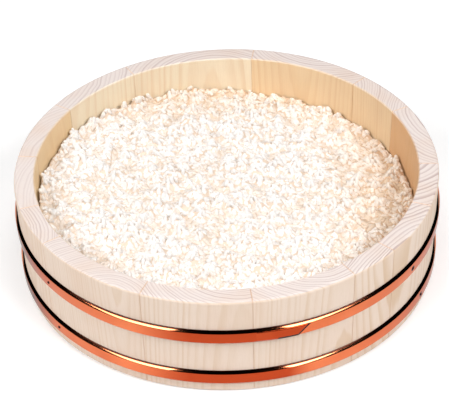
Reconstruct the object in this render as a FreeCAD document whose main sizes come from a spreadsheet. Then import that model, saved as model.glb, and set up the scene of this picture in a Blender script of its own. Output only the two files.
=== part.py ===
import FreeCAD, Part
import math
import os
import random

import Sketcher

# A round wooden tub for dressing sushi rice, with the rice in it. Staves stand round a floor of
# boards, are pegged to each other and are held by two copper hoops.
# Millimetres and degrees. The tub stands on z = 0 with its middle on the z axis. Angles round the
# tub count from its front, which is -Y, towards +X.

SIZES = {
    # Wall
    "rim_radius": 165,
    "foot_radius": 162,
    "tub_height": 88,
    "wall_thickness": 15.7,
    "rim_round": 1.8,
    "lip_bevel": 0.8,
    "foot_bevel": 1.2,
    "joint_bevel": 0.35,
    "first_joint_angle": 4.8,
    # Floor
    "floor_height": 9,
    "floor_thickness": 12,
    "floor_play": 0.1,
    "groove_depth": 5,
    # Pegs inside the wall and the floor
    "stave_dowel_radius": 1.75,
    "stave_dowel_length": 24,
    "stave_dowel_low": 34,
    "stave_dowel_high": 72,
    "floor_dowel_radius": 2.25,
    "floor_dowel_length": 28,
    "floor_dowel_spacing": 84,
    # Hoops
    "upper_hoop_height": 50.2,
    "lower_hoop_height": 9.8,
    "hoop_width": 11.2,
    "hoop_thickness": 2.4,
    "hoop_fit": 0.05,
    "hoop_bevel": 2,
    "hoop_edge": 0.4,
    # Lap where the two ends of a hoop meet: the outer end is cut off slantwise
    "lap_step": 0.6,
    "lap_depth": 1,
    "lap_angle": 14,
    "lap_tail_angle": 19,
    "lap_slant": 9.2,
    "upper_lap_angle": 19.5,
    "lower_lap_angle": 205,
    # Tacks that hold each hoop
    "tack_head_radius": 1.3,
    "tack_crown_radius": 0.7,
    "tack_head_height": 0.6,
    "tack_shank_width": 1.1,
    "tack_length": 9,
    "upper_tack_angle": 55.2,
    "upper_tack_step_angle": 110.7,
    "lower_tack_angle": 61.9,
    "lower_tack_step_angle": 115,
    # Rice
    "rice_level": 61,
    "rice_tilt": 9,
    "rice_dome": 6,
    "rice_lump_height": 5,
    "rice_lump_spacing": 17,
    "rice_gap": 0.3,
}

# Widths along the rim as sawn, in order round the tub; they are planed alike to close the ring.
STAVE_WIDTHS = (80.1, 40.3, 61.6, 54.7, 80.6, 54.7, 103.7, 112.3, 77.8, 74.9, 69.1, 47.5, 96.5, 82.9)
# Widths across the floor as sawn, from -X to +X; they are planed alike to fill the floor.
BOARD_WIDTHS = (74, 80, 71, 78)
HOOPS = ("upper", "lower")
TACKS_PER_HOOP = 3
PEG_SIDES = 6
TACK_HEAD_SIDES = 12
RICE_SEED = 3

doc = FreeCAD.newDocument("sushi_rice_tub")


# Spreadsheet with the driving dimensions

sheet = doc.addObject("Spreadsheet::Sheet", "sizes")
rows = list(SIZES.items())
rows += [(f"stave_width_{n:02d}", width) for n, width in enumerate(STAVE_WIDTHS, 1)]
rows += [(f"board_width_{n}", width) for n, width in enumerate(BOARD_WIDTHS, 1)]
for row, (name, value) in enumerate(rows, 1):
    sheet.set(f"A{row}", name)
    sheet.set(f"B{row}", str(value))
    sheet.setAlias(f"B{row}", name)
doc.recompute()


def size(expression):
    """The value of an expression on the spreadsheet's cells."""
    return float(sheet.evalExpression(expression))


# Expressions that several pieces share


def outer_wall(height):
    """Radius of the wall's outside at a height."""
    return f"(sizes.foot_radius + (sizes.rim_radius - sizes.foot_radius) * ({height}) / sizes.tub_height)"


def inner_wall(height):
    """Radius of the wall's inside at a height."""
    return f"({outer_wall(height)} - sizes.wall_thickness)"


def hoop_face(height):
    """Radius of a hoop's outside at a height."""
    return f"({outer_wall(height)} + sizes.hoop_fit + sizes.hoop_thickness)"


def joint_angle(joint):
    """Angle from the front to the joint before stave number joint."""
    names = [f"sizes.stave_width_{n:02d}" for n in range(1, len(STAVE_WIDTHS) + 1)]
    before = " + ".join(names[: joint - 1]) or "0"
    return f"(sizes.first_joint_angle + 360 * ({before}) / ({' + '.join(names)}))"


def board_edge(edge):
    """Distance along X from the middle of the tub to the edge before board number edge."""
    names = [f"sizes.board_width_{n}" for n in range(1, len(BOARD_WIDTHS) + 1)]
    before = " + ".join(names[: edge - 1]) or "0"
    return f"({floor_radius} * (2 * ({before}) / ({' + '.join(names)}) - 1))"


groove_radius = f"({inner_wall('sizes.floor_height')} + sizes.groove_depth)"
floor_radius = f"({groove_radius} - sizes.floor_play)"
floor_top = "(sizes.floor_height + sizes.floor_thickness)"
hoop_middle = "(sizes.hoop_width - sizes.hoop_bevel + sizes.hoop_edge) / 2"


# Helpers


def set_sizes(thing, **expressions):
    """Binds properties of a document object to expressions."""
    for name, expression in expressions.items():
        thing.setExpression(name, expression)


def turn(thing, angle):
    """Turns a document object about the z axis so that its +X side faces an angle from the front."""
    thing.Placement = FreeCAD.Placement(FreeCAD.Vector(), FreeCAD.Rotation(FreeCAD.Vector(0, 0, 1), 1))
    thing.setExpression("Placement.Rotation.Angle", f"{angle} - 90")


def outward(angle):
    """Unit vector from the z axis towards an angle from the front."""
    return FreeCAD.Vector(math.sin(math.radians(angle)), -math.cos(math.radians(angle)), 0)


def new_sketch(body, name, plane):
    """A sketch on one of the body's own origin planes."""
    sketch = body.newObject("Sketcher::SketchObject", name)
    support = [item for item in body.Origin.OriginFeatures if item.Role == plane][0]
    sketch.AttachmentSupport = (support, [""])
    sketch.MapMode = "FlatFace"
    return sketch


def outline(sketch, corners):
    """Draws a closed outline whose corners are pairs of expressions, across and up."""
    places = [FreeCAD.Vector(size(across), size(up), 0) for across, up in corners]
    for start, end in zip(places, places[1:] + places[:1]):
        sketch.addGeometry(Part.LineSegment(start, end), False)
    for n, (across, up) in enumerate(corners):
        sketch.addConstraint(Sketcher.Constraint("Coincident", n, 2, (n + 1) % len(corners), 1))
        fix_point(sketch, n, across, up)


def fix_point(sketch, line, across, up):
    """Ties the start of a line to its place. A place of 0 lies on the sketch's own axis."""
    for kind, axis, expression in (("DistanceX", -2, across), ("DistanceY", -1, up)):
        if expression == "0":
            sketch.addConstraint(Sketcher.Constraint("PointOnObject", line, 1, axis))
        else:
            tie = Sketcher.Constraint(kind, -1, 1, line, 1, size(expression))
            sketch.setExpression(f"Constraints[{sketch.addConstraint(tie)}]", expression)


def revolve(body, name, sketch, axis, angle, backwards=False):
    """Revolves a sketch about one of its axes."""
    feature = body.newObject("PartDesign::Revolution", name)
    feature.Profile = sketch
    feature.ReferenceAxis = (sketch, [axis])
    feature.Reversed = backwards
    feature.setExpression("Angle", angle)
    doc.recompute()
    return feature


def joint_faces(shape):
    """Names of the flat faces that hold the z axis in their plane."""
    names = []
    for number, face in enumerate(shape.Faces, 1):
        if not isinstance(face.Surface, Part.Plane):
            continue
        normal = face.Surface.Axis
        if abs(normal.z) < 1e-6 and abs(normal.dot(face.Surface.Position)) < 1e-4:
            names.append(f"Face{number}")
    return names


def bevel(body, name, base, faces, amount):
    """Bevels every edge of the named faces of a feature."""
    feature = body.newObject("PartDesign::Chamfer", name)
    feature.Base = (base, faces)
    feature.setExpression("Size", amount)
    doc.recompute()


def solids(name, shapes):
    """One document object that holds like pieces as separate solids."""
    group = doc.addObject("Part::Feature", name)
    group.Shape = Part.makeCompound(shapes)
    return group


def cut(name, base, tool):
    """A piece with the holes that another piece fills."""
    piece = doc.addObject("Part::Cut", name)
    piece.Base = base
    piece.Tool = tool
    piece.Label = name
    return piece


# Pegs


def polygon(sides, radius, height):
    """A level, even-sided outline round the z axis."""
    turns = [2 * math.pi * side / sides for side in range(sides)]
    corners = [FreeCAD.Vector(radius * math.cos(turn), radius * math.sin(turn), height) for turn in turns]
    return Part.makePolygon(corners + corners[:1])


def peg(radius, start, length):
    """A whittled peg with flat sides, from a place along a vector of its length."""
    bar = Part.Face(polygon(PEG_SIDES, radius, 0)).extrude(FreeCAD.Vector(0, 0, length.Length))
    bar.Placement = FreeCAD.Placement(start, FreeCAD.Rotation(FreeCAD.Vector(0, 0, 1), length))
    return bar


def make_stave_dowels():
    """Two pegs across each joint between staves, in the middle of the wall."""
    radius = size("sizes.stave_dowel_radius")
    length = size("sizes.stave_dowel_length")
    pegs = []
    for joint in range(1, len(STAVE_WIDTHS) + 1):
        angle = size(joint_angle(joint))
        span = outward(angle + 90) * length
        for height in ("sizes.stave_dowel_low", "sizes.stave_dowel_high"):
            middle = outward(angle) * size(f"{outer_wall(height)} - sizes.wall_thickness / 2")
            middle.z = size(height)
            pegs.append(peg(radius, middle - span / 2, span))
    return solids("stave_dowels", pegs)


def make_floor_dowels():
    """Three pegs across each joint between boards, in the middle of their thickness."""
    radius = size("sizes.floor_dowel_radius")
    span = FreeCAD.Vector(size("sizes.floor_dowel_length"), 0, 0)
    height = size("sizes.floor_height + sizes.floor_thickness / 2")
    pegs = []
    for edge in range(2, len(BOARD_WIDTHS) + 1):
        start = size(f"{board_edge(edge)} - sizes.floor_dowel_length / 2")
        for step in (-1, 0, 1):
            place = FreeCAD.Vector(start, step * size("sizes.floor_dowel_spacing"), height)
            pegs.append(peg(radius, place, span))
    return solids("floor_dowels", pegs)


# Tacks


def tack_shape():
    """A tack with a low head and a square shank, standing on its tip along +Z from under its head."""
    rim = polygon(TACK_HEAD_SIDES, size("sizes.tack_head_radius"), 0)
    crown = polygon(TACK_HEAD_SIDES, size("sizes.tack_crown_radius"), size("sizes.tack_head_height"))
    shoulder = polygon(4, size("sizes.tack_shank_width") / math.sqrt(2), 0)
    tip = polygon(4, size("sizes.tack_shank_width") / 6, -size("sizes.tack_length"))
    head = Part.makeLoft([rim, crown], True, True)
    return head.fuse(Part.makeLoft([shoulder, tip], True, True)).Solids[0]


def make_tacks(which):
    """The tacks of one hoop, spread from the one at the front right."""
    middle = f"(sizes.{which}_hoop_height + {hoop_middle})"
    tacks = []
    for number in range(TACKS_PER_HOOP):
        angle = size(f"sizes.{which}_tack_angle - {number} * sizes.{which}_tack_step_angle")
        place = outward(angle) * size(hoop_face(middle))
        place.z = size(middle)
        tack = tack_shape()
        tack.Placement = FreeCAD.Placement(
            place, FreeCAD.Rotation(FreeCAD.Vector(0, 0, 1), outward(angle))
        )
        tacks.append(tack)
    return solids(f"{which}_hoop_tacks", tacks)


# Staves


def make_stave(number):
    """One stave, turned as a length of ring with the groove for the floor in its inside."""
    name = f"stave_{number:02d}"
    body = doc.addObject("PartDesign::Body", f"{name}_blank")
    groove_top = f"({floor_top} + sizes.floor_play)"
    rim_shoulder = "(sizes.tub_height - sizes.rim_round)"
    rim_corner = "sizes.rim_round * (1 - cos(45))"
    lip_foot = "(sizes.tub_height - sizes.lip_bevel)"
    section = new_sketch(body, f"{name}_section", "XZ_Plane")
    outline(
        section,
        [
            (f"{outer_wall(0)} - sizes.foot_bevel", "0"),
            (outer_wall("sizes.foot_bevel"), "sizes.foot_bevel"),
            (outer_wall(rim_shoulder), rim_shoulder),
            (f"sizes.rim_radius - {rim_corner}", f"sizes.tub_height - {rim_corner}"),
            ("sizes.rim_radius - sizes.rim_round", "sizes.tub_height"),
            (f"{inner_wall('sizes.tub_height')} + sizes.lip_bevel", "sizes.tub_height"),
            (inner_wall(lip_foot), lip_foot),
            (inner_wall(groove_top), groove_top),
            (groove_radius, groove_top),
            (groove_radius, "sizes.floor_height"),
            (inner_wall("sizes.floor_height"), "sizes.floor_height"),
            (inner_wall("sizes.foot_bevel"), "sizes.foot_bevel"),
            (f"{inner_wall(0)} + sizes.foot_bevel", "0"),
        ],
    )
    last = number == len(STAVE_WIDTHS)
    end = f"({joint_angle(1)} + 360)" if last else joint_angle(number + 1)
    ring = revolve(body, f"{name}_ring", section, "V_Axis", f"{end} - {joint_angle(number)}")
    bevel(body, f"{name}_arrises", ring, joint_faces(ring.Shape), "sizes.joint_bevel")
    turn(body, joint_angle(number))
    return name, body


# Floor


def make_floor_disc():
    """The floor as one disc, from which the boards are taken."""
    body = doc.addObject("PartDesign::Body", "floor_disc")
    section = new_sketch(body, "floor_section", "XZ_Plane")
    outline(
        section,
        [
            ("0", "sizes.floor_height"),
            (floor_radius, "sizes.floor_height"),
            (floor_radius, floor_top),
            ("0", floor_top),
        ],
    )
    revolve(body, "floor_turning", section, "V_Axis", "360")
    return body


def make_board(number, disc):
    """One board of the floor, with its grain along Y."""
    name = f"floor_board_{number}"
    plank = doc.addObject("Part::Box", f"{name}_plank")
    set_sizes(
        plank,
        Length=f"{board_edge(number + 1)} - {board_edge(number)}",
        Width=f"2 * {floor_radius}",
        Height="sizes.floor_thickness",
    )
    plank.setExpression("Placement.Base.x", board_edge(number))
    plank.setExpression("Placement.Base.y", f"-{floor_radius}")
    plank.setExpression("Placement.Base.z", "sizes.floor_height")
    trimmed = doc.addObject("Part::Common", f"{name}_trimmed")
    trimmed.Base = plank
    trimmed.Tool = disc
    return name, trimmed


# Hoops


def make_hoop(which):
    """A copper band that follows the wall. Its outer end laps over the other and is cut slantwise."""
    name = f"{which}_hoop"
    foot = f"sizes.{which}_hoop_height"
    face_foot = f"({foot} + sizes.hoop_edge)"
    face_top = f"({foot} + sizes.hoop_width - sizes.hoop_bevel)"
    top = f"({foot} + sizes.hoop_width)"
    body = doc.addObject("PartDesign::Body", f"{name}_strip")

    lap = new_sketch(body, f"{name}_lap_section", "XZ_Plane")
    outline(
        lap,
        [
            (f"{hoop_face(face_foot)} + sizes.lap_step - sizes.lap_depth", face_foot),
            (f"{hoop_face(face_foot)} + sizes.lap_step", face_foot),
            (f"{hoop_face(face_top)} + sizes.lap_step", face_top),
            (f"{hoop_face(face_top)} + sizes.lap_step - sizes.lap_depth", face_top),
        ],
    )
    centre = "sizes.lap_step / (1 - cos(sizes.lap_angle))"
    start = FreeCAD.Vector(size(centre), size(foot), 0)
    end = FreeCAD.Vector(size(centre), size(top), 0)
    axis = lap.addGeometry(Part.LineSegment(start, end), True)
    fix_point(lap, axis, centre, foot)
    lap.addConstraint(Sketcher.Constraint("Vertical", axis))
    rise = lap.addConstraint(Sketcher.Constraint("DistanceY", axis, 1, axis, 2, size("sizes.hoop_width")))
    lap.setExpression(f"Constraints[{rise}]", "sizes.hoop_width")
    revolve(body, f"{name}_lap", lap, "Axis0", "sizes.lap_tail_angle", backwards=True)

    slant = new_sketch(body, f"{name}_slant", "YZ_Plane")
    outline(slant, [("0", face_top), ("-sizes.lap_slant", face_foot), ("0", face_foot)])
    trim = body.newObject("PartDesign::Pocket", f"{name}_trim")
    trim.Profile = slant
    trim.Type = "ThroughAll"
    trim.Midplane = True
    doc.recompute()

    band = new_sketch(body, f"{name}_section", "XZ_Plane")
    outline(
        band,
        [
            (f"{outer_wall(foot)} + sizes.hoop_fit", foot),
            (f"{hoop_face(foot)} - sizes.hoop_edge", foot),
            (hoop_face(face_foot), face_foot),
            (hoop_face(face_top), face_top),
            (f"{hoop_face(top)} - sizes.hoop_bevel", top),
            (f"{outer_wall(top)} + sizes.hoop_fit", top),
        ],
    )
    revolve(body, f"{name}_band", band, "V_Axis", "360")
    turn(body, f"sizes.{which}_lap_angle")
    return name, body


# Rice


def rice_height(place):
    """Height of the rice: heaped a little in the middle and higher at -X."""
    reach = size(inner_wall("sizes.tub_height"))
    slope = size("sizes.rice_tilt") * place.x / reach
    heap = size("sizes.rice_dome") * (1 - (place.x**2 + place.y**2) / reach**2)
    return size("sizes.rice_level") - slope + heap


def rice_top():
    """Rings of points from the middle out, six more on each. Each stands up or sinks as a lump."""
    dice = random.Random(RICE_SEED)
    lump = size("sizes.rice_lump_height / 2")
    reach = size(f"{inner_wall('sizes.rice_level')} - sizes.rice_gap")
    lean = size("(sizes.rim_radius - sizes.foot_radius) / sizes.tub_height")
    count = max(2, round(2 * reach / size("sizes.rice_lump_spacing")))
    rings = []
    for number in range(count + 1):
        ring = []
        for step in range(max(1, 6 * number)):
            place = outward(60 * step / max(1, number)) * (reach * number / count)
            height = rice_height(place) + dice.uniform(-lump, lump)
            if number == count:
                place *= 1 + lean * (height - size("sizes.rice_level")) / reach
            place.z = height
            ring.append(place)
        rings.append(ring)
    return rings


def make_rice():
    """The cooked rice as one closed heap that fills the tub up to its lumpy top."""
    rings = rice_top()
    triangles = []
    for number, (inner, outer) in enumerate(zip(rings, rings[1:])):
        for sixth in range(6):
            for step in range(number + 1):
                here = sixth * (number + 1) + step
                near = (sixth * number + step) % len(inner)
                after = outer[(here + 1) % len(outer)]
                triangles.append((inner[near], outer[here], after))
                if step < number:
                    triangles.append((inner[near], after, inner[(near + 1) % len(inner)]))
    bottom = size(floor_top)
    reach = size(f"{inner_wall(floor_top)} - sizes.rice_gap")
    edge = rings[-1]
    foot = [outward(360 * step / len(edge)) * reach + FreeCAD.Vector(0, 0, bottom) for step in range(len(edge))]
    for step, top in enumerate(edge):
        after = (step + 1) % len(edge)
        triangles += [(top, foot[step], foot[after]), (top, foot[after], edge[after])]
    faces = [Part.Face(Part.makePolygon([*corners, corners[0]])) for corners in triangles]
    faces.append(Part.Face(Part.makePolygon(foot + foot[:1])))
    rice = doc.addObject("Part::Feature", "cooked_rice")
    rice.Shape = Part.makeSolid(Part.makeShell(faces))
    return rice


# Pieces

stave_dowels = make_stave_dowels()
floor_dowels = make_floor_dowels()
tacks = {which: make_tacks(which) for which in HOOPS}
stave_pegs = doc.addObject("Part::Compound", "stave_pegs")
stave_pegs.Links = [stave_dowels, *tacks.values()]

staves = [make_stave(number) for number in range(1, len(STAVE_WIDTHS) + 1)]
floor_disc = make_floor_disc()
boards = [make_board(number, floor_disc) for number in range(1, len(BOARD_WIDTHS) + 1)]
hoops = {which: make_hoop(which) for which in HOOPS}

pieces = [cut(name, blank, stave_pegs) for name, blank in staves]
pieces += [cut(name, blank, floor_dowels) for name, blank in boards]
pieces += [cut(name, blank, tacks[which]) for which, (name, blank) in hoops.items()]
pieces += [stave_dowels, floor_dowels, *tacks.values(), make_rice()]
doc.recompute()

for item in doc.Objects:
    if "Invalid" in item.State or "Error" in item.State:
        raise RuntimeError(f"{item.Label} did not build: {item.State}")
for piece in pieces:
    if piece.Shape.isNull() or not piece.Shape.isValid() or not piece.Shape.Solids:
        raise RuntimeError(f"{piece.Label} has no valid solid")

os.makedirs("parts", exist_ok=True)
for piece in pieces:
    piece.Shape.exportStep(f"parts/{piece.Label}.step")
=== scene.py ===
import math

import bpy
import numpy as np
from mathutils import Matrix, Vector
from mathutils.bvhtree import BVHTree


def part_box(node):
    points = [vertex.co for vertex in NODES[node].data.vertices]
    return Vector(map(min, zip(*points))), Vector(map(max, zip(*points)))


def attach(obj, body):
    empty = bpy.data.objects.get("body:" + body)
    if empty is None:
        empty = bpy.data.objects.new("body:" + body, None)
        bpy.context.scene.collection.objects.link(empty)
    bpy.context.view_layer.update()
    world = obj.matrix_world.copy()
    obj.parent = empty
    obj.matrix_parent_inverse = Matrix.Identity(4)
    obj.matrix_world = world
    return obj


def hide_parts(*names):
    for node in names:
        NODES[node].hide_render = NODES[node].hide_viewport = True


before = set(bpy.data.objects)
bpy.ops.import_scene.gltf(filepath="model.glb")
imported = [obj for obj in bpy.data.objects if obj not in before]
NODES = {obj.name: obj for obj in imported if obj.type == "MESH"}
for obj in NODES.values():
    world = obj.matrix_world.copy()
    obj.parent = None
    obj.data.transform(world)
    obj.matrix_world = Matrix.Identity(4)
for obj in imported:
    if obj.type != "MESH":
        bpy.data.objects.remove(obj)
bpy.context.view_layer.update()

# Looks of the sushi rice tub: pale softwood staves with growth rings, polished copper hoops and a
# heap of cooked rice grains. Lengths are metres and angles degrees, except where a comment says
# otherwise. Angles round the tub count from its front, which is -Y, towards +X.

# Camera, which stands in front of the tub and looks down into it
IMAGE_WIDTH = 449
FOCAL_LENGTH_PIXELS = 2000
SENSOR_WIDTH = 36
CAMERA_REACH = 50
CAMERA_PLACE = (-0.0147, -1.2494, 1.0141)
CAMERA_PITCH = 37.56
CAMERA_YAW = 0.576
CAMERA_ROLL = -1.963

# Tub wall
RIM_RADIUS = 0.165
FOOT_RADIUS = 0.162
TUB_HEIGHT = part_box("stave_01")[1].z

# Noises of the looks: waves to a millimetre or to a ring, detail and roughness
RING_WAVE_NOISE = (0.035, 3)
RING_DRIFT_NOISE = (0.45, 1)
FIBRE_NOISE = (1.6, 3, 0.65)
PORE_NOISE = (1.1, 3, 0.7)
BLOTCH_NOISE = (0.03, 2)
PLANE_NOISE = (0.9, 2)
BAMBOO_NOISE = (0.8, 3, 0.6)
CLOUD_NOISE = (0.012, 3, 0.6)
SCRATCH_NOISE = (3.0, 3, 0.7)
SHADE_NOISE = (0.06, 2)
RICE_NOISE = (0.5, 2)

# How a place is scaled before a noise that runs along a stave or a strip
RING_STRETCH = (1, 1, 0.05)
FIBRE_STRETCH = (1, 1, 0.03)
BLOTCH_STRETCH = (1, 1, 0.35)
PLANE_STRETCH = 0.02
SCRATCH_STRETCH = (0.05, 0.05, 1)

# Values between which a mark comes up
FIBRE_RANGE = (0.35, 0.8)
PORE_RANGE = (0.45, 0.8)
BLOTCH_RANGE = (0.4, 0.75)
CLOUD_RANGE = (0.42, 0.6)
END_RANGE = (0.55, 0.9)
OUTSIDE_RANGE = (-20.0, 20.0)

# Growth rings: their waves in millimetres, and places within a ring from 0 to 1
RING_WAVE = 5.0
RING_DRIFT = 1.6
RING_DRIFT_OFFSET = 0.37
LATE_WOOD_START = (0.35, 0.86)
LATE_WOOD_END = (0.9, 1.0)
FAINTEST_RING = 0.35

# How strongly the marks in the wood show
OUTSIDE_RING_SHARE = 0.65
INSIDE_RING_SHARE = 0.45
FIBRE_SHARE = 0.1
PORE_SHARE = 0.22
BLOTCH_SHARE = 0.22
JOINT_SHARE = 0.28
JOINT_WIDTH = (0.8, 0.1)

# Planed surface of the wood, and each mark's share of its relief
WOOD_ROUGHNESS = 0.62
WOOD_GLOSS = 0.3
WOOD_RELIEF = 0.00012
FIBRE_RELIEF = 0.6
PLANE_RELIEF = 0.35
RING_RELIEF = 0.5

# Hoops
HOOP_WIDTH = 0.0112
HOOP_THICKNESS = 0.0024
HOOP_FIT = 0.00005
HOOP_BEVEL = 0.002
HOOP_EDGE = 0.0004
HOOP_ROUNDING = 0.0003
HOOP_ROUNDING_STEPS = 4
HOOP_SEGMENTS = 720
SHADE_SHARE = 0.42

# The hoops' lapping ends, with dark solder and painted shadow along the slantwise cut, and painted
# shadow along part of the lower edge
LAP_PLACES = {"upper_hoop": 19.5, "lower_hoop": 205}
LAP_STEP = 0.0006
LAP_ANGLE = 14
LAP_SLANT = 0.0092
LAP_SINK = 0.0001
LAP_COLUMNS = 60
LAP_ROWS = 8
SEAM_COLUMNS = 3
SEAM_EDGE_ANGLE = 7

# Painted reflection and shade on the hoops' faces: a darker reflection from the first angle to the
# second, turning to the lit floor's reflection over the third, and painted shade on the sides and
# the left flank
DARK_REFLECTION_ANGLES = {"upper_hoop": (-10, 15.6, 0.6), "lower_hoop": (-10, 12, 10)}
LEFT_FADE_ANGLE = 20
SIDE_ANGLES = (48, 80)
SIDE_SHADE = 0.7
CLOUD_DULLNESS = 0.25
FLANK_START = (-52, -78)
FLANK_END = (-150, -100)
FACE_ROUGHNESS = 0.04

# Tacks: first angle and step of each hoop's three, and the tarnish round them in millimetres
TACK_ANGLES = {"upper_hoop": (55.2, 110.7), "lower_hoop": (61.9, 115)}
TACKS_PER_HOOP = 3
TARNISH_REACH = (2.5, 2.0)

# Scratches along the metal
SCRATCH_ROUGHNESS = 0.05
SCRATCH_DEPTH = 0.000004

# Rice heap and its clumps
RICE_SEED = 7
HEAP_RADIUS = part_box("cooked_rice")[1].x
HEAP_LOOKUP_SHARE = 0.985
CLUMP_COUNT = 600
CLUMP_JITTER = 0.0028
CLUMP_STEP = 0.0014
CLUMP_SLOPES = (0.45, 0.85)
CLUMP_ROUND = 0.0010
CLUMP_DEPTH = 0.0034
CLUMP_SINK = 0.0008
CLUMP_BATCHES = 40

# Pointed tufts of rice against the wall
PEAK_COUNT = 104
PEAK_RADIUS = 0.0042
PEAK_HEIGHT = 0.0034
PEAK_HEIGHT_SHARES = (0.5, 1)
PEAK_JITTER = 0.3
PEAK_INSETS = (0.0025, 0.0055)
PEAK_BAND = 0.0125
PEAK_SINK = 0.0006

# The closed bed of rice under the loose grains
BED_MARGIN = 0.0012
BED_RINGS = 96
BED_RISE = 0.0002

# Shape of a grain
GRAIN_LENGTH = 0.0058
GRAIN_WIDTH = 0.0034
GRAIN_DEPTH = 0.0031
GRAIN_BLUNTNESS = 0.75
GRAIN_RINGS = 4
GRAIN_SIDES = 6

# Places and poses of the grains, with tips in radians
GRAIN_COUNT = 11600
GRAIN_SPREAD_MARGIN = 0.002
GRAIN_EDGE_MARGIN = 0.0025
GRAIN_JITTER = 0.0012
GRAIN_SINK = 0.0012
GRAIN_WALL_GAP = 0.0006
GRAIN_SCALES = (0.85, 1.15)
SLOPE_STEP = 0.0015
STEEPEST_SLOPE = 1.2
YAW_SPREAD = 0.6
TIP_SHARE = 0.9
TIP_SPREAD = 0.22
TOP_SHARE = 0.2
STANDING_SHARE = 0.6
STANDING_TIPS = (-1.4, -0.8)
STANDING_RISE = 0.0014
TONE_JITTER = 0.0004

# Look of the rice: shade of the right and back wall in millimetres, and light from within
SHADE_X = (55.0, 150.0)
SHADE_Y = (75.0, 165.0)
SHADE_PATCHES = 0.5
RICE_GLOW = (1, 0.86, 0.74, 1)
RICE_GLOW_STRENGTH = 0.045
RICE_ROUGHNESS = 0.45
RICE_GLOSS = 0.4
RICE_RELIEF = 0.0002

# Floor, and each lamp's angle, rise, distance, width, height and radiance
FLOOR_HALF = 4
FLOOR_TONE = (0.82, 0.82, 0.82, 1)
FLOOR_ROUGHNESS = 0.9
FLOOR_GLOW = 0.3
LAMPS = {
    "right_lamp": (51, 46, 2.2, 1.39, 0.78, 8.5),
    "left_lamp": (-63, 42, 2.2, 1.91, 0.78, 6),
    "top_lamp": (0, 82, 2.4, 1.3, 1.3, 4.4),
}


# Helpers


class Shader:
    """A node material with short ways to add and join its nodes."""

    def __init__(self, name):
        self.material = bpy.data.materials.new(name)
        self.material.use_nodes = True
        self.tree = self.material.node_tree
        self.surface = self.tree.nodes["Principled BSDF"]

    def join(self, value, socket):
        """Joins an output to a socket, or sets the socket to a plain value."""
        if isinstance(value, bpy.types.NodeSocket):
            self.tree.links.new(value, socket)
        else:
            socket.default_value = value

    def set(self, **values):
        """Sets inputs of the surface, named with underscores, to plain values."""
        for name, value in values.items():
            self.surface.inputs[name.replace("_", " ")].default_value = value

    def math(self, operation, first, second=0.0, third=0.0, clamp=False):
        node = self.tree.nodes.new("ShaderNodeMath")
        node.operation = operation
        node.use_clamp = clamp
        for value, socket in zip((first, second, third), node.inputs):
            self.join(value, socket)
        return node.outputs[0]

    def vector(self, operation, first, second=(0, 0, 0)):
        node = self.tree.nodes.new("ShaderNodeVectorMath")
        node.operation = operation
        self.join(first, node.inputs[0])
        self.join(second, node.inputs[1])
        return node.outputs["Value" if operation in ("LENGTH", "DOT_PRODUCT") else "Vector"]

    def split(self, vector):
        """X, Y and Z of a vector."""
        node = self.tree.nodes.new("ShaderNodeSeparateXYZ")
        self.join(vector, node.inputs[0])
        return tuple(node.outputs)

    def join_xyz(self, x, y, z):
        node = self.tree.nodes.new("ShaderNodeCombineXYZ")
        for value, socket in zip((x, y, z), node.inputs):
            self.join(value, socket)
        return node.outputs[0]

    def noise(self, vector, scale, detail=2.0, roughness=0.5):
        node = self.tree.nodes.new("ShaderNodeTexNoise")
        self.join(vector, node.inputs["Vector"])
        node.inputs["Scale"].default_value = scale
        node.inputs["Detail"].default_value = detail
        node.inputs["Roughness"].default_value = roughness
        return node.outputs["Fac"]

    def random(self, value):
        """A random number from 0 to 1 for each whole number."""
        node = self.tree.nodes.new("ShaderNodeTexWhiteNoise")
        node.noise_dimensions = "1D"
        self.join(value, node.inputs["W"])
        return node.outputs["Value"]

    def step(self, value, start, end):
        """0 at the start, 1 at the end and smooth between them, whichever is the higher."""
        node = self.tree.nodes.new("ShaderNodeMapRange")
        node.interpolation_type = "SMOOTHSTEP"
        self.join(value, node.inputs["Value"])
        node.inputs["From Min"].default_value = start
        node.inputs["From Max"].default_value = end
        return node.outputs["Result"]

    def mix(self, factor, first, second):
        """A colour that goes from the first to the second as the factor goes from 0 to 1."""
        node = self.tree.nodes.new("ShaderNodeMix")
        node.data_type = "RGBA"
        self.join(factor, node.inputs["Factor"])
        self.join(first, node.inputs[6])
        self.join(second, node.inputs[7])
        return node.outputs[2]

    def bump(self, height, distance):
        node = self.tree.nodes.new("ShaderNodeBump")
        self.join(height, node.inputs["Height"])
        node.inputs["Distance"].default_value = distance
        self.join(node.outputs["Normal"], self.surface.inputs["Normal"])

    def place(self):
        """Place on the object, in millimetres."""
        node = self.tree.nodes.new("ShaderNodeTexCoord")
        return self.vector("MULTIPLY", node.outputs["Object"], (1000, 1000, 1000))

    def normal(self):
        return self.tree.nodes.new("ShaderNodeNewGeometry").outputs["Normal"]


def colour(red, green, blue):
    """A colour given as a screen shows it, 0 to 255, as the linear colour that a shader takes."""
    return tuple(((c / 255 + 0.055) / 1.055) ** 2.4 for c in (red, green, blue)) + (1.0,)


def outward(angle):
    """Unit vector from the tub's axis towards an angle from the front."""
    return Vector((math.sin(math.radians(angle)), -math.cos(math.radians(angle)), 0))


def wall_radius(height):
    """Radius of the wall's outside at a height."""
    return FOOT_RADIUS + (RIM_RADIUS - FOOT_RADIUS) * height / TUB_HEIGHT


def hoop_face(height):
    """Radius of a hoop's outside at a height."""
    return wall_radius(height) + HOOP_FIT + HOOP_THICKNESS


def polar(radius, turn):
    """Places at arrays of radii and angles, in radians, as rows of X and Y."""
    return np.stack((radius * np.cos(turn), radius * np.sin(turn)), 1)


def spread(count, reach):
    """Places spread evenly over a disc, on a spiral."""
    order = np.arange(count) + 0.5
    return polar(reach * np.sqrt(order / count), order * math.pi * (3 - math.sqrt(5)))


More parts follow.
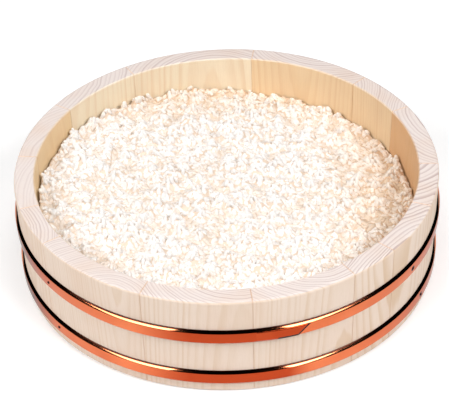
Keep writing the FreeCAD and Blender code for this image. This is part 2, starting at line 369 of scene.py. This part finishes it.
def add_mesh(name, vertices, faces, material):
    """A new smooth mesh object that rides on the tub."""
    mesh = bpy.data.meshes.new(name)
    mesh.from_pydata(vertices, [], faces)
    mesh.materials.append(material)
    mesh.polygons.foreach_set("use_smooth", [True] * len(mesh.polygons))
    piece = bpy.data.objects.new(name, mesh)
    bpy.context.scene.collection.objects.link(piece)
    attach(piece, "root")
    return piece


def dress(node, material):
    """Gives a CAD node a new material."""
    mesh = NODES[node].data
    mesh.materials.clear()
    mesh.materials.append(material)


# Camera

camera_data = bpy.data.cameras.new("camera")
camera_data.sensor_width = SENSOR_WIDTH
camera_data.lens = FOCAL_LENGTH_PIXELS * SENSOR_WIDTH / IMAGE_WIDTH
camera_data.clip_end = CAMERA_REACH
camera = bpy.data.objects.new("camera", camera_data)
camera.matrix_world = (
    Matrix.Translation(CAMERA_PLACE)
    @ Matrix.Rotation(math.radians(-CAMERA_YAW), 4, "Z")
    @ Matrix.Rotation(math.radians(90 - CAMERA_PITCH), 4, "X")
    @ Matrix.Rotation(math.radians(CAMERA_ROLL), 4, "Z")
)
bpy.context.scene.collection.objects.link(camera)
bpy.context.scene.camera = camera


# Wood

OUTSIDE = colour(245, 225, 208)
OUTSIDE_RING = colour(222, 190, 152)
# The inside tones are painted light and shade: warmer than the outside for the light bouncing in
# the tub, lightest at the back and on the left where the lamps light it, and darker and redder as
# painted shade on the right
BOUNCE_WARMED_INSIDE = colour(236, 202, 158)
INSIDE_RING = colour(222, 172, 112)
LIT_BACK_INSIDE = colour(253, 238, 210)
LIT_BACK_RIGHT_INSIDE = colour(248, 220, 180)
LIT_LEFT_INSIDE = colour(247, 218, 174)
SHADED_RIGHT_INSIDE = colour(232, 188, 142)
END = colour(234, 222, 216)
END_RING = colour(188, 164, 160)
END_PORE = colour(205, 182, 175)
FIBRE = colour(190, 150, 110)
BLOTCH = colour(226, 186, 150)
JOINT = colour(196, 146, 104)


def growth_rings(shader, place, heart_angle, heart_radius, ring_width):
    """Late wood of the rings round a heart: wavy rings of uneven width with a dark outer edge."""
    heart = outward(heart_angle) * heart_radius
    x, y = shader.split(place)[:2]
    stretched = shader.vector("MULTIPLY", place, RING_STRETCH)
    wave = shader.math("SUBTRACT", shader.noise(stretched, *RING_WAVE_NOISE), 0.5)
    flat = shader.join_xyz(
        shader.math("SUBTRACT", x, heart.x), shader.math("SUBTRACT", y, heart.y), 0.0
    )
    distance = shader.math("MULTIPLY_ADD", wave, RING_WAVE, shader.vector("LENGTH", flat))
    turns = shader.math("DIVIDE", distance, ring_width)
    row = shader.join_xyz(turns, heart_angle * RING_DRIFT_OFFSET, 0.0)
    drift = shader.noise(row, *RING_DRIFT_NOISE)
    turns = shader.math("MULTIPLY_ADD", drift, RING_DRIFT, turns)
    part = shader.math("FRACT", turns)
    late = shader.math(
        "MULTIPLY",
        shader.step(part, *LATE_WOOD_START),
        shader.math("SUBTRACT", 1.0, shader.step(part, *LATE_WOOD_END)),
    )
    strength = shader.random(shader.math("FLOOR", turns))
    strength = shader.math("MULTIPLY_ADD", strength, 1 - FAINTEST_RING, FAINTEST_RING)
    return shader.math("MULTIPLY", late, strength)


def wood(name, heart_angle, heart_radius, ring_width, contrast, lit_inside=BOUNCE_WARMED_INSIDE, joints=()):
    """Softwood with growth rings round a heart that stands at an angle and radius of the tub.

    The heart's radius and the rings' width are in millimetres. The joints are the angles of the
    two glued sides, which show as thin darker lines.
    """
    shader = Shader(name)
    place = shader.place()
    x, y, z = shader.split(place)
    late = growth_rings(shader, place, heart_angle, heart_radius, ring_width)

    # Fine fibres along the stave, pores on its end and slow changes of tone
    fibre = shader.noise(shader.vector("MULTIPLY", place, FIBRE_STRETCH), *FIBRE_NOISE)
    pore = shader.noise(place, *PORE_NOISE)
    blotch = shader.noise(shader.vector("MULTIPLY", place, BLOTCH_STRETCH), *BLOTCH_NOISE)

    # Colour of the outside and the inside, the inside's tone being painted light and shade
    facing = shader.normal()
    leaning = shader.vector("DOT_PRODUCT", facing, shader.join_xyz(x, y, 0.0))
    on_inside = shader.math("SUBTRACT", 1.0, shader.step(leaning, *OUTSIDE_RANGE))
    ring_share = shader.math(
        "MULTIPLY_ADD",
        on_inside,
        (INSIDE_RING_SHARE - OUTSIDE_RING_SHARE) * contrast,
        OUTSIDE_RING_SHARE * contrast,
    )
    side = shader.mix(
        shader.math("MULTIPLY", late, ring_share),
        shader.mix(on_inside, OUTSIDE, lit_inside),
        shader.mix(on_inside, OUTSIDE_RING, INSIDE_RING),
    )
    fibred = shader.mix(FIBRE_SHARE, side, FIBRE)
    side = shader.mix(shader.step(fibre, *FIBRE_RANGE), side, fibred)

    # Colour of the ends
    end = shader.mix(shader.math("MULTIPLY", late, contrast), END, END_RING)
    pore_share = shader.math("MULTIPLY", shader.step(pore, *PORE_RANGE), PORE_SHARE)
    end = shader.mix(pore_share, end, END_PORE)

    # Both together, with the blotches and the lines of the joints
    on_end = shader.step(shader.math("ABSOLUTE", shader.split(facing)[2]), *END_RANGE)
    tone = shader.mix(on_end, side, end)
    blotch_share = shader.math("MULTIPLY", shader.step(blotch, *BLOTCH_RANGE), BLOTCH_SHARE)
    tone = shader.mix(blotch_share, tone, BLOTCH)
    if joints:
        gaps = []
        for angle in joints:
            across = tuple(outward(angle + 90))
            gaps.append(shader.math("ABSOLUTE", shader.vector("DOT_PRODUCT", place, across)))
        line = shader.step(shader.math("MINIMUM", *gaps), *JOINT_WIDTH)
        tone = shader.mix(shader.math("MULTIPLY", line, JOINT_SHARE), tone, JOINT)
    shader.join(tone, shader.surface.inputs["Base Color"])

    # Planed surface: fibres, soft early wood and marks of the plane across the stave
    shader.set(Roughness=WOOD_ROUGHNESS, Specular_IOR_Level=WOOD_GLOSS)
    along = shader.math("MULTIPLY", x, PLANE_STRETCH)
    marks = shader.noise(shader.join_xyz(along, 0.0, z), *PLANE_NOISE)
    height = shader.math("MULTIPLY", marks, PLANE_RELIEF)
    height = shader.math("MULTIPLY_ADD", fibre, FIBRE_RELIEF, height)
    height = shader.math("MULTIPLY_ADD", late, RING_RELIEF, height)
    shader.bump(height, WOOD_RELIEF)
    return shader.material


def side_angles(node):
    """Angles of a stave's two sides."""
    low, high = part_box(node)
    middle = Vector((low.x + high.x, low.y + high.y))
    turns = [middle.angle_signed(vertex.co.to_2d()) for vertex in NODES[node].data.vertices]
    front = math.degrees(math.atan2(middle.x, -middle.y))
    return front - math.degrees(max(turns)), front - math.degrees(min(turns))


# Heart's angle, heart's radius, ring width, contrast and inner tone of each stave, the inner tone
# painted lighter or darker for how the lamps light that part of the inside
STAVE_RINGS = {
    "stave_01": (30, 124, 2.6, 0.7),
    "stave_02": (51, 576, 2.4, 1.0),
    "stave_03": (49, 254, 3.6, 1.0, SHADED_RIGHT_INSIDE),
    "stave_04": (99, 124, 4.4, 0.9, SHADED_RIGHT_INSIDE),
    "stave_05": (107, 217, 3.2, 0.7, SHADED_RIGHT_INSIDE),
    "stave_06": (162, 113, 2.2, 0.6, LIT_BACK_RIGHT_INSIDE),
    "stave_07": (154, 211, 3.0, 0.7, LIT_BACK_RIGHT_INSIDE),
    "stave_08": (183, 110, 3.4, 0.6, LIT_BACK_INSIDE),
    "stave_09": (236, 260, 3.2, 0.5, LIT_BACK_INSIDE),
    "stave_10": (262, 90, 3.4, 0.35, LIT_LEFT_INSIDE),
    "stave_11": (300, 60, 3.0, 0.3, LIT_LEFT_INSIDE),
    "stave_12": (291, 233, 2.4, 0.7, LIT_LEFT_INSIDE),
    "stave_13": (330, 188, 2.3, 0.55),
    "stave_14": (2, 116, 2.4, 0.75),
}
for node, rings in STAVE_RINGS.items():
    dress(node, wood(node, *rings, joints=side_angles(node)))

# Floor boards, whose hearts lie far off to one side
for number in range(1, 5):
    node = f"floor_board_{number}"
    dress(node, wood(node, 90, 400 + 30 * number, 3.4, 0.9))


# Pegs and metal

# Face tones of the hoops are painted reflection and shade: the lit floor's reflection, a darker
# reflection, and painted shade on the left flank; the tarnish is the copper's own
LIT_REFLECTION_COPPER = colour(240, 134, 88)
DARK_REFLECTION_COPPER = colour(190, 74, 38)
SHADED_FLANK_COPPER = colour(112, 34, 20)
TARNISH = colour(44, 11, 7)


def bamboo():
    shader = Shader("bamboo")
    fibre = shader.noise(shader.place(), *BAMBOO_NOISE)
    tone = shader.mix(fibre, colour(214, 188, 130), colour(186, 152, 96))
    shader.join(tone, shader.surface.inputs["Base Color"])
    shader.set(Roughness=0.5)
    return shader.material


def clouds(shader, place):
    """Slow changes from 0 to 1 over a metal."""
    return shader.step(shader.noise(place, *CLOUD_NOISE), *CLOUD_RANGE)


def polish(shader, place, tone, roughness, metallic=1.0):
    """Finishes a metal of a tone, with fine scratches along the strip."""
    shader.join(tone, shader.surface.inputs["Base Color"])
    shader.set(Metallic=metallic)
    scratch = shader.noise(shader.vector("MULTIPLY", place, SCRATCH_STRETCH), *SCRATCH_NOISE)
    rough = shader.math("MULTIPLY_ADD", scratch, SCRATCH_ROUGHNESS, roughness)
    shader.join(rough, shader.surface.inputs["Roughness"])
    shader.bump(scratch, SCRATCH_DEPTH)
    return shader.material


def metal(name, bright, dull, roughness, metallic=1.0):
    """A metal that changes slowly between two tones."""
    shader = Shader(name)
    place = shader.place()
    tone = shader.mix(clouds(shader, place), bright, dull)
    return polish(shader, place, tone, roughness, metallic)


def tack_places(node):
    """Middles of the tacks' heads on a hoop's face, in millimetres."""
    first, step = TACK_ANGLES[node]
    low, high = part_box(node + "_tacks")
    height = (low.z + high.z) / 2
    places = []
    for n in range(TACKS_PER_HOOP):
        side = outward(first + n * step)
        places.append((side * hoop_face(height) + Vector((0, 0, height))) * 1000)
    return places


def hoop_copper(node):
    """Copper of a hoop's face with painted reflection and shade: a darker reflection in front,
    painted shade darkest on the left flank, and tarnish round the tacks.
    """
    shader = Shader(node + "_copper")
    place = shader.place()
    x, y = shader.split(place)[:2]
    turn = shader.math("ARCTAN2", x, shader.math("MULTIPLY", y, -1.0))
    turn = shader.math("MULTIPLY", turn, 180 / math.pi)
    left, right, fade = DARK_REFLECTION_ANGLES[node]
    # The lit floor's reflection is painted outside the front's angles, and taken off the sides as
    # painted shade
    bright = shader.math(
        "ADD",
        shader.step(turn, left, left - LEFT_FADE_ANGLE),
        shader.step(turn, right, right + fade),
    )
    side = shader.step(shader.math("ABSOLUTE", turn), *SIDE_ANGLES)
    bright = shader.math("MULTIPLY_ADD", side, -SIDE_SHADE, bright)
    cloud = clouds(shader, place)
    bright = shader.math("MULTIPLY_ADD", cloud, -CLOUD_DULLNESS, bright, clamp=True)
    tone = shader.mix(bright, DARK_REFLECTION_COPPER, LIT_REFLECTION_COPPER)
    # Painted shade, darkest on the left flank
    shaded_flank = shader.math("MULTIPLY", shader.step(turn, *FLANK_START), shader.step(turn, *FLANK_END))
    tone = shader.mix(shaded_flank, tone, SHADED_FLANK_COPPER)
    for tack in tack_places(node):
        away = shader.vector("LENGTH", shader.vector("SUBTRACT", place, tuple(tack)))
        tone = shader.mix(shader.step(away, *TARNISH_REACH), tone, TARNISH)
    return polish(shader, place, tone, FACE_ROUGHNESS)


bamboo_look = bamboo()
for node in ("stave_dowels", "floor_dowels"):
    dress(node, bamboo_look)
tack_look = metal("darkened_tack", colour(62, 14, 10), colour(44, 10, 8), 0.85, 0.0)
for node in ("upper_hoop_tacks", "lower_hoop_tacks"):
    dress(node, tack_look)

# Looks of a hoop after that of its face: the bevel, the top painted dark as shade against the wall,
# the lapping end, and its solder and painted shadow
HOOP_LOOKS = (
    metal("copper_bevel", colour(235, 148, 102), colour(226, 134, 90), 0.05),
    metal("shaded_copper_top", colour(66, 36, 26), colour(54, 28, 20), 0.08),
    metal("lap_tongue", colour(200, 84, 46), colour(188, 72, 36), 0.04),
    metal("lap_solder_and_shadow", colour(62, 16, 9), colour(46, 11, 7), 0.5, 0.3),
)
FACE, BEVEL, SHADED_TOP, TONGUE, SOLDER_AND_SHADOW = range(5)


# Hoops


def rounded(corners, radius, steps):
    """A profile whose inner corners are rounded off."""
    points = [corners[0]]
    for before, corner, after in zip(corners, corners[1:], corners[2:]):
        to_before = (before - corner).normalized()
        to_after = (after - corner).normalized()
        reach = min(radius, (before - corner).length / 2, (after - corner).length / 2)
        start = corner + to_before * reach
        end = corner + to_after * reach
        for n in range(steps + 1):
            t = n / steps
            points.append(start * (1 - t) ** 2 + corner * 2 * t * (1 - t) + end * t**2)
    points.append(corners[-1])
    return points


def hoop_profile(foot):
    """Radius and height of a hoop's outline over its foot, and the look of each stretch of it."""
    face_foot = foot + HOOP_EDGE
    face_top = foot + HOOP_WIDTH - HOOP_BEVEL
    top = foot + HOOP_WIDTH
    bevel_foot = Vector((hoop_face(face_top), face_top))
    bevel_top = Vector((hoop_face(top) - HOOP_BEVEL, top))
    corners = [
        Vector((wall_radius(foot) + HOOP_FIT, foot)),
        Vector((hoop_face(foot) - HOOP_EDGE, foot)),
        Vector((hoop_face(face_foot), face_foot)),
        bevel_foot,
        bevel_top.lerp(bevel_foot, SHADE_SHARE),
        bevel_top,
        Vector((wall_radius(top) + HOOP_FIT, top)),
    ]
    profile = rounded(corners, HOOP_ROUNDING, HOOP_ROUNDING_STEPS)

    # The bevel starts halfway round the third rounded corner, and the top painted dark as shade
    # after the fourth
    corner_points = HOOP_ROUNDING_STEPS + 1
    bevel_start = 1 + 2 * corner_points + HOOP_ROUNDING_STEPS // 2
    shaded_top_start = bevel_start + corner_points
    looks = [FACE] * len(profile)
    looks[bevel_start:shaded_top_start] = [BEVEL] * (shaded_top_start - bevel_start)
    looks[shaded_top_start:-1] = [SHADED_TOP] * (len(profile) - 1 - shaded_top_start)
    return profile, looks


def lap_rise(turn):
    """How far the lapping end stands off the band at an angle from its end."""
    dip = (1 - math.cos(math.radians(turn))) / (1 - math.cos(math.radians(LAP_ANGLE)))
    return LAP_STEP * (1 - dip)


def lapping_end(node, face_foot, face_top, start):
    """Places, faces and looks of the lapping end: its face, its slantwise cut and its thin edges.

    Its faces count their corners from the start.
    """
    places = []
    for column in range(LAP_COLUMNS + 2):
        for row in range(LAP_ROWS + 2):
            up = min(max(row - 1, 0), LAP_ROWS - 1) / (LAP_ROWS - 1)
            height = face_foot + (face_top - face_foot) * up
            cut = math.degrees(LAP_SLANT * (1 - up) / hoop_face(height))
            along = min(column, LAP_COLUMNS) / LAP_COLUMNS
            turn = LAP_ANGLE + (cut - LAP_ANGLE) * along
            edge = row in (0, LAP_ROWS + 1) or column == LAP_COLUMNS + 1
            rise = -LAP_SINK if edge else max(lap_rise(turn), 0)
            side = outward(LAP_PLACES[node] - turn)
            places.append(side * (hoop_face(height) + rise) + Vector((0, 0, height)))
    faces = []
    looks = []
    for column in range(LAP_COLUMNS + 1):
        for row in range(LAP_ROWS + 1):
            a = start + column * (LAP_ROWS + 2) + row
            b = a + LAP_ROWS + 2
            faces.append((a, b, b + 1, a + 1))
            # The slantwise cut gets dark solder and painted shadow, and the lower edge near the tip
            # painted shadow
            at_cut = column >= LAP_COLUMNS - SEAM_COLUMNS
            at_edge = row <= 1 and column >= LAP_COLUMNS * (1 - SEAM_EDGE_ANGLE / LAP_ANGLE)
            looks.append(SOLDER_AND_SHADOW if at_cut or at_edge else TONGUE)
    return places, faces, looks


def make_hoop(node):
    """A bevelled copper band with a slantwise lap, in place of the plainer CAD solid."""
    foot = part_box(node)[0].z
    profile, profile_looks = hoop_profile(foot)
    count = len(profile)
    vertices = []
    faces = []
    for segment in range(HOOP_SEGMENTS):
        side = outward(360 * segment / HOOP_SEGMENTS)
        vertices += [side * point.x + Vector((0, 0, point.y)) for point in profile]
        here = segment * count
        there = (segment + 1) % HOOP_SEGMENTS * count
        for n in range(count):
            after = (n + 1) % count
            faces.append((here + n, here + after, there + after, there + n))
    face_top = foot + HOOP_WIDTH - HOOP_BEVEL
    lap = lapping_end(node, foot + HOOP_EDGE, face_top, len(vertices))
    looks = profile_looks * HOOP_SEGMENTS + lap[2]

    hoop = add_mesh(node + "_band", vertices + lap[0], faces + lap[1], hoop_copper(node))
    for look in HOOP_LOOKS:
        hoop.data.materials.append(look)
    hoop.data.polygons.foreach_set("material_index", looks)
    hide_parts(node)


for node in LAP_PLACES:
    make_hoop(node)


# Rice

# Tones in the open and in the wall's shade: the bed, darkest as painted shade in the gaps, then
# grains from the creases, painted darker as shade, to the tops
RICE_SHADE_TONES = [
    (colour(222, 202, 183), colour(200, 164, 128)),
    (colour(231, 218, 206), colour(215, 189, 160)),
    (colour(238, 230, 225), colour(227, 207, 186)),
    (colour(241, 236, 232), colour(232, 216, 200)),
    (colour(242, 239, 237), colour(235, 223, 210)),
]


def rice_look(name, bright, shaded):
    """Cooked rice: moist and milky, warmer where the heap lies in the wall's shade."""
    shader = Shader(name)
    place = shader.place()
    x, y = shader.split(place)[:2]
    shade = shader.math("MAXIMUM", shader.step(x, *SHADE_X), shader.step(y, *SHADE_Y))
    patch = shader.math("SUBTRACT", shader.noise(place, *SHADE_NOISE), 0.5)
    shade = shader.math("MULTIPLY_ADD", patch, SHADE_PATCHES, shade, clamp=True)
    shader.join(shader.mix(shade, bright, shaded), shader.surface.inputs["Base Color"])

    # A little warm light from within stands for the translucent grains
    shader.set(Emission_Color=RICE_GLOW, Emission_Strength=RICE_GLOW_STRENGTH)
    shader.set(Roughness=RICE_ROUGHNESS, Specular_IOR_Level=RICE_GLOSS)
    shader.bump(shader.noise(place, *RICE_NOISE), RICE_RELIEF)
    return shader.material


def clump_height(places):
    """Height of the pointed clumps of rice at an array of places, with creases between them."""
    dice = np.random.default_rng(RICE_SEED)
    middles = spread(CLUMP_COUNT, RIM_RADIUS)
    middles += dice.normal(0, CLUMP_JITTER, middles.shape)
    tops = dice.uniform(-CLUMP_STEP, CLUMP_STEP, CLUMP_COUNT)
    slopes = dice.uniform(*CLUMP_SLOPES, CLUMP_COUNT)
    heights = []
    for batch in np.array_split(places, CLUMP_BATCHES):
        away = ((batch[:, None, :] - middles[None]) ** 2).sum(2)
        cones = tops - (np.sqrt(away + CLUMP_ROUND**2) - CLUMP_ROUND) * slopes
        heights.append(cones.max(1))
    heights = np.maximum(np.concatenate(heights), -CLUMP_DEPTH) - CLUMP_SINK

    # Tufts against the wall
    turn = np.arange(PEAK_COUNT) + dice.uniform(-PEAK_JITTER, PEAK_JITTER, PEAK_COUNT)
    turn = turn * 2 * math.pi / PEAK_COUNT
    peaks = polar(HEAP_RADIUS - dice.uniform(*PEAK_INSETS, PEAK_COUNT), turn)
    tall = PEAK_HEIGHT * dice.uniform(*PEAK_HEIGHT_SHARES, PEAK_COUNT)
    near = np.hypot(places[:, 0], places[:, 1]) > HEAP_RADIUS - PEAK_BAND
    away = np.sqrt(((places[near][:, None, :] - peaks[None]) ** 2).sum(2))
    tufts = (np.maximum(1 - away / PEAK_RADIUS, 0) * tall).max(1)
    heights[near] += tufts - PEAK_SINK
    return heights


def cad_rice():
    """The CAD rice as a tree of its faces, to look up its height."""
    solid = NODES["cooked_rice"].data
    points = [vertex.co.copy() for vertex in solid.vertices]
    return BVHTree.FromPolygons(points, [tuple(polygon.vertices) for polygon in solid.polygons])


HEAP = cad_rice()


def heap_height(places):
    """Height of the heap with its clumps at an array of places."""
    heights = []
    for x, y in places * HEAP_LOOKUP_SHARE:
        heights.append(HEAP.ray_cast(Vector((x, y, 1)), Vector((0, 0, -1)))[0].z)
    return np.array(heights) + clump_height(places)


def grain_shape():
    """Vertices and faces of one grain, along X."""
    vertices = [(-0.5, 0, 0)]
    for ring in range(GRAIN_RINGS):
        turn = math.pi * (ring + 1) / (GRAIN_RINGS + 1)
        along = -math.cos(turn) * 0.5
        girth = math.sin(turn) ** GRAIN_BLUNTNESS * 0.5
        for side in range(GRAIN_SIDES):
            roll = 2 * math.pi * side / GRAIN_SIDES
            vertices.append((along, math.cos(roll) * girth, math.sin(roll) * girth))
    vertices.append((0.5, 0, 0))
    last = len(vertices) - 1
    faces = []
    for side in range(GRAIN_SIDES):
        after = (side + 1) % GRAIN_SIDES
        faces.append((0, 1 + after, 1 + side))
        faces.append((last, last - GRAIN_SIDES + side, last - GRAIN_SIDES + after))
        for ring in range(GRAIN_RINGS - 1):
            a = 1 + ring * GRAIN_SIDES
            b = a + GRAIN_SIDES
            faces.append((a + side, a + after, b + after))
            faces.append((a + side, b + after, b + side))
    size = np.array((GRAIN_LENGTH, GRAIN_WIDTH, GRAIN_DEPTH))
    return np.array(vertices) * size, np.array(faces)


def disc_mesh(reach, rings):
    """Places and triangles of a flat disc of six-sided rings, evenly fine all over."""
    places = [(0.0, 0.0)]
    faces = []
    for ring in range(1, rings + 1):
        radius = reach * ring / rings
        first = 1 + 3 * ring * (ring - 1)
        inner = 1 + 3 * (ring - 1) * (ring - 2)
        for n in range(6 * ring):
            turn = 2 * math.pi * n / (6 * ring)
            places.append((radius * math.cos(turn), radius * math.sin(turn)))
            sector, step = divmod(n, ring)
            after = first + (n + 1) % (6 * ring)
            start = sector * (ring - 1)
            below = inner + (start + step) % (6 * (ring - 1)) if ring > 1 else 0
            faces.append((first + n, after, below))
            if step:
                faces.append((first + n, below, inner + start + step - 1))
    return np.array(places), faces


def turning(angles, first, second):
    """Matrices that turn the first axis towards the second by an array of angles."""
    turns = np.tile(np.eye(3), (len(angles), 1, 1))
    turns[:, first, first] = turns[:, second, second] = np.cos(angles)
    turns[:, second, first] = np.sin(angles)
    turns[:, first, second] = -np.sin(angles)
    return turns


def make_bed():
    """A lumpy closed bed that shows between the grains, in the darkest tone as painted shade in the
    gaps.
    """
    places, faces = disc_mesh(HEAP_RADIUS - BED_MARGIN, BED_RINGS)
    vertices = np.column_stack((places, heap_height(places) + BED_RISE)).tolist()
    base = add_mesh("rice_below", vertices, faces, rice_look("rice_below", *RICE_SHADE_TONES[0]))
    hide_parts("cooked_rice")


def make_grains():
    """Loose grains heaped on the bed, in one piece for each tone."""
    dice = np.random.default_rng(RICE_SEED + 1)
    spots = spread(GRAIN_COUNT, HEAP_RADIUS - GRAIN_SPREAD_MARGIN)
    spots += dice.normal(0, GRAIN_JITTER, spots.shape)
    limit = (HEAP_RADIUS - GRAIN_EDGE_MARGIN) / np.hypot(spots[:, 0], spots[:, 1])
    spots *= np.minimum(1, limit)[:, None]
    ground = heap_height(spots)
    z = ground + dice.uniform(-GRAIN_SINK, 0.0, GRAIN_COUNT)

    # Laid up the clumps' slopes, and standing on many of their tops
    slope_x = (heap_height(spots + (SLOPE_STEP, 0)) - ground) / SLOPE_STEP
    slope_y = (heap_height(spots + (0, SLOPE_STEP)) - ground) / SLOPE_STEP
    slope = np.minimum(np.hypot(slope_x, slope_y), STEEPEST_SLOPE)
    yaw = np.arctan2(slope_y, slope_x) + dice.normal(0, YAW_SPREAD, GRAIN_COUNT)
    clumps = clump_height(spots)
    on_top = clumps > np.quantile(clumps, 1 - TOP_SHARE)
    standing = on_top & (dice.uniform(0, 1, GRAIN_COUNT) < STANDING_SHARE)
    tip = -np.arctan(slope) * TIP_SHARE + dice.normal(0, TIP_SPREAD, GRAIN_COUNT)
    tip = np.where(standing, dice.uniform(*STANDING_TIPS, GRAIN_COUNT), tip)
    z += standing * STANDING_RISE
    roll = dice.uniform(0, 2 * math.pi, GRAIN_COUNT)
    scale = dice.uniform(*GRAIN_SCALES, GRAIN_COUNT)
    shape, grain_faces = grain_shape()
    pose = turning(yaw, 0, 1) @ turning(tip, 2, 0) @ turning(roll, 1, 2)
    grains = np.einsum("gij,vj->gvi", pose, shape) * scale[:, None, None]
    grains += np.column_stack((spots, z))[:, None, :]

    # Kept off the wall
    reach = np.hypot(grains[:, :, 0], grains[:, :, 1]).max(1)
    over = np.maximum(reach - HEAP_RADIUS + GRAIN_WALL_GAP, 0)
    shift = over[:, None] * spots / np.hypot(spots[:, 0], spots[:, 1])[:, None]
    grains[:, :, :2] -= shift[:, None, :]

    # Painted shade: tones darker in the creases and lighter up to the clumps' tops
    ranked = np.argsort(clumps + dice.normal(0, TONE_JITTER, GRAIN_COUNT))
    for number, share in enumerate(np.array_split(ranked, len(RICE_SHADE_TONES) - 1), 1):
        offsets = np.arange(len(share)) * len(shape)
        triangles = (grain_faces[None] + offsets[:, None, None]).reshape(-1, 3).tolist()
        vertices = grains[share].reshape(-1, 3).tolist()
        look = rice_look(f"rice_tone_{number}", *RICE_SHADE_TONES[number])
        piece = add_mesh(f"rice_grains_{number}", vertices, triangles, look)


make_bed()
make_grains()


# Floor, lamps and world


def make_floor():
    """A white floor that keeps the tub's shadow."""
    corners = [(x * FLOOR_HALF, y * FLOOR_HALF, 0) for x, y in ((-1, -1), (1, -1), (1, 1), (-1, 1))]
    mesh = bpy.data.meshes.new("floor")
    mesh.from_pydata(corners, [], [(0, 1, 2, 3)])
    shader = Shader("floor")
    shader.set(Base_Color=FLOOR_TONE, Roughness=FLOOR_ROUGHNESS, Specular_IOR_Level=0.0)
    shader.set(Emission_Color=(1, 1, 1, 1))
    path = shader.tree.nodes.new("ShaderNodeLightPath")
    glow = shader.math("MULTIPLY", path.outputs["Is Camera Ray"], FLOOR_GLOW)
    shader.join(glow, shader.surface.inputs["Emission Strength"])
    mesh.materials.append(shader.material)
    floor = bpy.data.objects.new("floor", mesh)
    bpy.context.scene.collection.objects.link(floor)


def softbox(name, angle, rise, distance, width, height, radiance):
    """A soft rectangular lamp that faces the tub."""
    light = bpy.data.lights.new(name, "AREA")
    light.shape = "RECTANGLE"
    light.size = width
    light.size_y = height
    light.energy = radiance * math.pi * width * height
    lamp = bpy.data.objects.new(name, light)
    lift = math.radians(rise)
    way = outward(angle) * math.cos(lift) + Vector((0, 0, math.sin(lift)))
    lamp.location = way * distance
    lamp.rotation_euler = way.to_track_quat("Z", "Y").to_euler()
    lamp.visible_camera = False
    bpy.context.scene.collection.objects.link(lamp)


make_floor()
for name, setting in LAMPS.items():
    softbox(name, *setting)

# A white world that the camera sees but that gives no light
world = bpy.data.worlds.new("studio")
bpy.context.scene.world = world
world.use_nodes = True
background = world.node_tree.nodes["Background"]
background.inputs["Color"].default_value = (1, 1, 1, 1)
path = world.node_tree.nodes.new("ShaderNodeLightPath")
world.node_tree.links.new(path.outputs["Is Camera Ray"], background.inputs["Strength"])

bpy.context.scene.view_settings.view_transform = "Standard"
